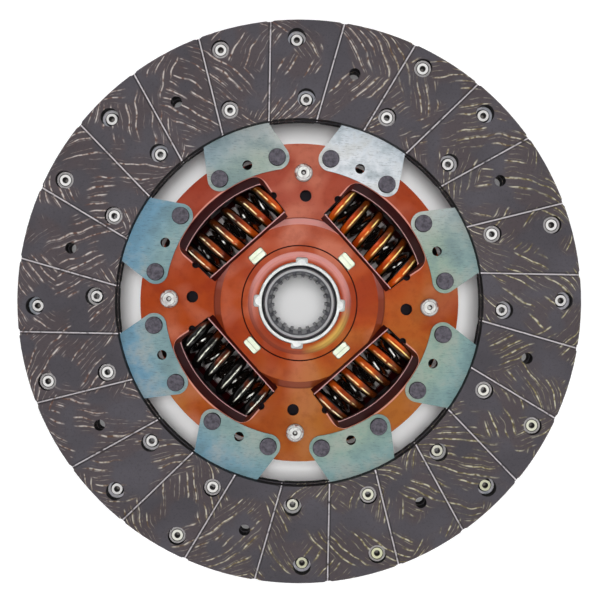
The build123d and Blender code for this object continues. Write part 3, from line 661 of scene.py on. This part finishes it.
finishes = {
    "facing": facing_finish(),
    "plate": plate_finish(),
    "cushion_steel": tinted_steel_finish(),
    "rivet_steel": steel_finish("matt_rivet_steel", linear(124, 119, 130), linear(84, 80, 88), rough=0.5,
                                metal=0.5, scale=520, relief=0.25, edge=linear(14, 13, 15), side_shade_from=0.12),
    "copper_rivet": tubular_rivet_finish(),
    "pin_steel": pin_finish(),
    "bush": steel_finish("pale_bush_resin", linear(238, 240, 238), linear(214, 216, 214), rough=0.42,
                         metal=0.0, edge=linear(120, 116, 116)),
    "friction": steel_finish("friction_lining", linear(70, 66, 62), linear(50, 46, 44), rough=0.8,
                             metal=0.0),
    "pale_steel": steel_finish("pale_plated_steel", linear(250, 254, 236), linear(230, 240, 212), rough=0.35,
                               metal=0.1, edge=linear(96, 98, 88)),
    "spring_steel": damper_spring_finish(),
    "inner_spring_steel": inner_spring_finish(),
    "hub_steel": hub_finish(),
}
for part in frame["record"]["subparts"]:
    node = bpy.data.objects[part["node"]]
    node.data.materials.clear()
    node.data.materials.append(finishes[part["material_slot"]])


# ---------------------------------------------------------------- springs

def wire_rings(coil, sides):
    """Rings of points round the wire, cut flat at both ends of the spring."""
    rings_per_turn = 40
    steps = round(coil.turns * rings_per_turn)

    def centre(step):
        return coil.centre(coil.turns * step / steps)

    for step in range(steps + 1):
        here = centre(step)
        ahead = (centre(step + 0.5) - centre(step - 0.5)).normalized()
        out = (here - Vector((spring_distance, here.y, spring_middle))).normalized()
        side = ahead.cross(out).normalized()
        out = side.cross(ahead)
        ring = []
        for k in range(sides):
            around = 2 * math.pi * k / sides
            point = here + (out * math.cos(around) + side * math.sin(around)) * coil.wire / 2
            point.y = max(-spring_length / 2, min(spring_length / 2, point.y))
            ring.append(point)
        yield ring


def coil_piece(name, coil, slot, to_window):
    """Spring in its window: one tube along the wire, with a flat face at each end."""
    sides = 20
    shape = bmesh.new()
    rings = [[shape.verts.new(to_window @ point) for point in ring] for ring in wire_rings(coil, sides)]
    for first, second in zip(rings, rings[1:]):
        for k in range(sides):
            after = (k + 1) % sides
            shape.faces.new((first[k], first[after], second[after], second[k]))
    shape.faces.new(rings[0])
    shape.faces.new(list(reversed(rings[-1])))
    bmesh.ops.recalc_face_normals(shape, faces=shape.faces)
    mesh = bpy.data.meshes.new(name)
    shape.to_mesh(mesh)
    shape.free()
    for face in mesh.polygons:
        face.use_smooth = len(face.vertices) == 4
    piece = bpy.data.objects.new(name, mesh)
    bpy.context.collection.objects.link(piece)
    mesh.materials.append(finishes[slot])
    return piece


for number in range(1, window_count + 1):
    to_window = Matrix.Rotation(window_angle + (number - 1) * 2 * math.pi / window_count, 4, "Z")
    for kind, coil, slot in (("damper_spring", damper_coil, "spring_steel"),
                             ("inner_spring", inner_coil, "inner_spring_steel")):
        piece = coil_piece(f"{kind}_coil_{number}", coil, slot, to_window)
        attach(piece, "springs")
        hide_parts(f"{kind}_{number}")
        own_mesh(piece)


# ---------------------------------------------------------------- floor, light and camera

def make_stage():
    """Wide pale floor under the hub's rear end, whiter to the eye beyond the disc and its shadow."""
    half = 3.0
    shadow_reach = 150 * MM
    f = Finish("pale_floor")
    colour = f.ramp(f.noise(f.place(), 3, detail=1), (0.3, (0.94, 0.94, 0.94)), (0.7, (0.97, 0.97, 0.97)))
    beyond = f.seen() * f.polar()[0].above(shadow_reach, soft=30 * MM)
    glow = f.mix(beyond, (0.0, 0.0, 0.0), (0.35, 0.35, 0.35))
    material = f.surface(base_color=colour, roughness=0.7, specular_IOR_level=0.2, emission_color=glow,
                         emission_strength=1.0)
    mesh = bpy.data.meshes.new("floor")
    corners = [(-half, -half, 0), (half, -half, 0), (half, half, 0), (-half, half, 0)]
    mesh.from_pydata(corners, [], [(0, 1, 2, 3)])
    floor = bpy.data.objects.new("floor", mesh)
    bpy.context.collection.objects.link(floor)
    mesh.materials.append(material)


def softbox(name, place, size, watts, mirrored=True):
    """Square white lamp aimed at the disc. One that isn't mirrored leaves no sheen on the flat faces."""
    target = Vector((0, 0, 30 * MM))
    light = bpy.data.lights.new(name, "AREA")
    light.shape = "SQUARE"
    light.size = size
    light.energy = watts
    piece = bpy.data.objects.new(name, light)
    piece.location = place
    piece.visible_glossy = mirrored
    piece.rotation_euler = (target - Vector(place)).to_track_quat("-Z", "Y").to_euler()
    bpy.context.collection.objects.link(piece)


def make_light():
    """Two lamps over the disc, and three round it that show in the metal."""
    softbox("key_softbox", (0, 0.04, 0.55), size=0.2, watts=1.95, mirrored=False)
    softbox("overhead_softbox", (0, 0, 1.4), size=1.2, watts=1.0, mirrored=False)
    for name, place in (("left_softbox", (-0.75, 0.55, 0.7)), ("right_softbox", (0.8, -0.25, 0.75)),
                        ("low_softbox", (0.1, -0.9, 0.6))):
        softbox(name, place, size=0.3, watts=0.8)


def make_surroundings():
    """Pale backdrop all round, greyer overhead."""
    studio = Finish("studio", bpy.data.worlds)
    height = studio.split(studio.node("ShaderNodeTexCoord", output="Generated"))[2]
    colour = studio.ramp(height, (0.2, (0.9, 0.9, 0.9)), (0.5, (0.17, 0.17, 0.17)))
    back = studio.node("ShaderNodeBackground", inputs={"Color": colour})
    studio.node("ShaderNodeOutputWorld", inputs={"Surface": back})
    bpy.context.scene.world = studio.owner


def make_camera():
    """Close view straight down on the disc, turned a little about its axis."""
    roll = math.radians(3.4)
    height_over_facing = 280 * MM
    place_up = 5.5 * MM
    aim_up = 1.6 * MM
    aim_right = 0.32 * MM
    right = Vector((math.cos(roll), math.sin(roll), 0))
    up = Vector((-math.sin(roll), math.cos(roll), 0))
    aim = Vector((0, 0, facing_face)) + up * aim_up + right * aim_right
    place = Vector((0, 0, facing_face + height_over_facing)) + up * place_up
    back = (place - aim).normalized()
    side = up.cross(back).normalized()
    turn = Matrix((side, back.cross(side), back)).transposed().to_4x4()
    data = bpy.data.cameras.new("camera")
    data.lens = 34.48
    data.sensor_width = 36.0
    data.clip_start = 0.01
    camera = bpy.data.objects.new("camera", data)
    camera.matrix_world = Matrix.Translation(place) @ turn
    bpy.context.collection.objects.link(camera)
    bpy.context.scene.camera = camera


make_stage()
make_light()
make_surroundings()
make_camera()
bpy.context.scene.view_settings.view_transform = "Standard"
